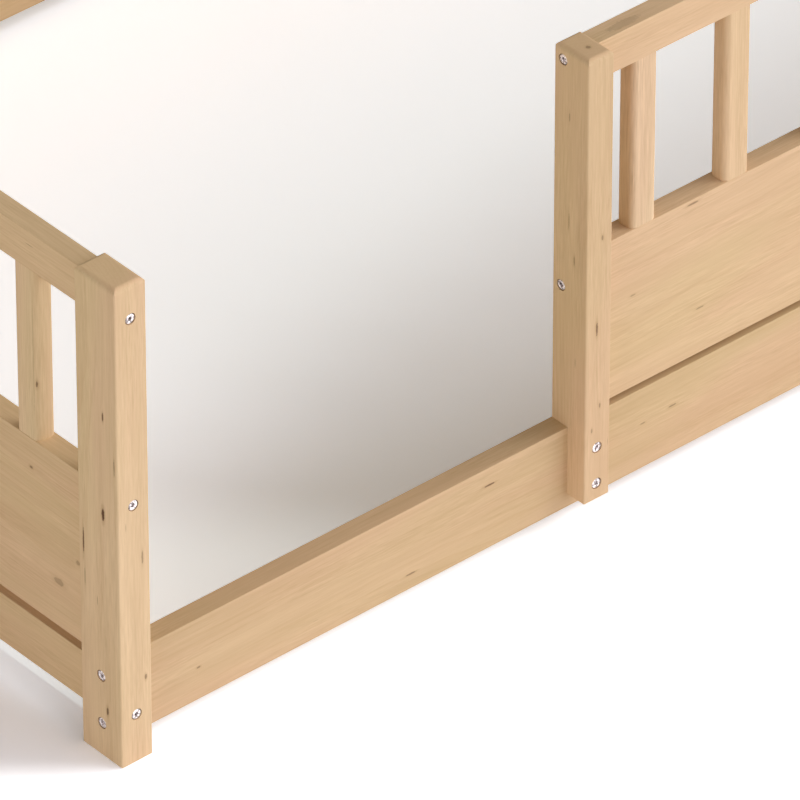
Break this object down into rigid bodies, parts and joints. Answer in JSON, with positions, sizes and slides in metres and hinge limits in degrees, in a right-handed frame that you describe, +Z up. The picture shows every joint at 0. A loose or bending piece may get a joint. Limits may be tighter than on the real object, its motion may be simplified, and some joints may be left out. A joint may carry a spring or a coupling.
{
  "type": "toddler floor bed",
  "caption": "Low pine floor bed frame for a mattress on the floor: board panels and baluster fences between square posts, with an open entrance beside a gate post at the front.",
  "frame": {"origin": "middle of the footprint, on the floor", "axes": "+X along the bed's length, to the right as seen from the entrance side; +Y from the entrance side to the back; +Z up"},
  "size_m": [2.063, 0.995, 0.5125],
  "materials": {
    "pine": "planed and sanded solid pine with small knots, natural or clear matt finish",
    "zinc_plated_steel": "bright zinc plating",
    "beech": "plain turned beech dowel"
  },
  "bodies": {
    "root": {"corner_post_front_left": "pine", "corner_post_front_right": "pine", "corner_post_back_left": "pine", "corner_post_back_right": "pine", "gate_post": "pine", "front_base_rail": "pine", "front_fence_panel": "pine", "front_fence_top_rail": "pine", "back_base_rail": "pine", "back_fence_panel": "pine", "back_fence_top_rail": "pine", "left_end_base_rail": "pine", "left_end_panel": "pine", "left_end_top_rail": "pine", "right_end_base_rail": "pine", "right_end_panel": "pine", "right_end_top_rail": "pine", "front_baluster_01": "pine", "front_baluster_02": "pine", "front_baluster_03": "pine", "front_baluster_04": "pine", "front_baluster_05": "pine", "front_baluster_06": "pine", "front_baluster_07": "pine", "front_baluster_08": "pine", "front_baluster_09": "pine", "front_baluster_10": "pine", "front_baluster_11": "pine", "front_baluster_12": "pine", "front_baluster_13": "pine", "left_end_baluster_01": "pine", "left_end_baluster_02": "pine", "left_end_baluster_03": "pine", "left_end_baluster_04": "pine", "left_end_baluster_05": "pine", "left_end_baluster_06": "pine", "left_end_baluster_07": "pine", "left_end_baluster_08": "pine", "right_end_baluster_01": "pine", "right_end_baluster_02": "pine", "right_end_baluster_03": "pine", "right_end_baluster_04": "pine", "right_end_baluster_05": "pine", "right_end_baluster_06": "pine", "right_end_baluster_07": "pine", "right_end_baluster_08": "pine", "back_fence_balusters": "pine", "side_bolts": "zinc_plated_steel", "end_bolts": "zinc_plated_steel", "gate_post_side_bolts": "zinc_plated_steel", "gate_post_foot_bolts": "zinc_plated_steel", "barrel_nuts": "zinc_plated_steel", "insert_nuts": "zinc_plated_steel", "wooden_dowels": "beech"}
  },
  "joints": []
}
